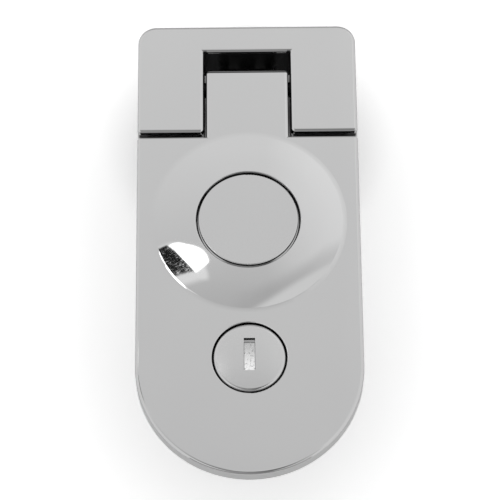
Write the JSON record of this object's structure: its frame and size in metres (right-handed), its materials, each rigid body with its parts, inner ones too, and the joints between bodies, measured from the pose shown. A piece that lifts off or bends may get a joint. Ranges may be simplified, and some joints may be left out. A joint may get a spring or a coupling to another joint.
{
  "type": "compression latch",
  "caption": "Chrome flush compression latch: lift lever with a round push button in a shallow dome and a key lock, hinged in an ear block over a flange, with a pawl behind.",
  "frame": {"origin": "centre of the four fixing holes on the flange's underside", "axes": "+Z out of the panel towards the user, +Y towards the hinge end, +X right seen from the front"},
  "size_m": [0.057, 0.1322, 0.0331],
  "materials": {
    "chrome": "mirror chrome plate",
    "casting": "chrome plate on zinc die casting",
    "steel": "zinc-plated steel",
    "dark_steel": "spring steel",
    "brass": "machined",
    "rubber": "matt",
    "acetal": "moulded acetal"
  },
  "bodies": {
    "frame": {"housing": "casting", "gasket": "rubber", "rest_pads": "rubber", "pivot_pin": "steel"},
    "lift_lever": {"lever": "chrome", "lever_spring": "dark_steel", "guide_plate": "acetal", "guide_screws": "steel", "catch_cover": "steel", "cover_screws": "steel", "lock_body": "casting", "lock_seal": "rubber", "lock_nut": "steel", "pawl": "steel", "pawl_bolts": "steel", "pawl_nuts": "steel", "bumper_screw": "steel", "bumper_nuts": "steel", "rubber_bumper": "rubber", "button_spring": "dark_steel", "catch_spring": "dark_steel"},
    "button": {"push_button": "chrome"},
    "catch": {"catch_slider": "steel"},
    "plug": {"lock_plug": "chrome", "lock_cam": "steel", "cam_screw": "steel", "shutter_pin": "steel"},
    "shutter": {"key_shutter": "chrome"}
  },
  "joints": [
    {"name": "lever_hinge", "type": "hinge", "parent": "frame", "child": "lift_lever", "pos_m": [0, 0.0455, 0.003], "axis": [-1, 0, 0], "range_deg": [0, 60], "deforming": ["lever_spring"]},
    {"name": "button_slide", "type": "slide", "parent": "lift_lever", "child": "button", "axis": [0, 0, -1], "range_m": [0, 0.003], "stiffness_N_per_m": 400, "springref_m": -0.003, "deforming": ["button_spring"]},
    {"name": "catch_slide", "type": "slide", "parent": "lift_lever", "child": "catch", "axis": [0, 1, 0], "range_m": [0, 0.003], "deforming": ["catch_spring"]},
    {"name": "lock_turn", "type": "hinge", "parent": "lift_lever", "child": "plug", "pos_m": [0, -0.03155, 0], "axis": [0, 0, -1], "range_deg": [0, 90]},
    {"name": "shutter_flap", "type": "hinge", "parent": "plug", "child": "shutter", "pos_m": [0, -0.0271, 0.00665], "axis": [1, 0, 0], "range_deg": [0, 75], "stiffness_Nm_per_rad": 0.0002, "springref_deg": -11.46}
  ],
  "couplings": [
    {"joint": "catch_slide", "follows": "button_slide", "ratio": 1}
  ]
}
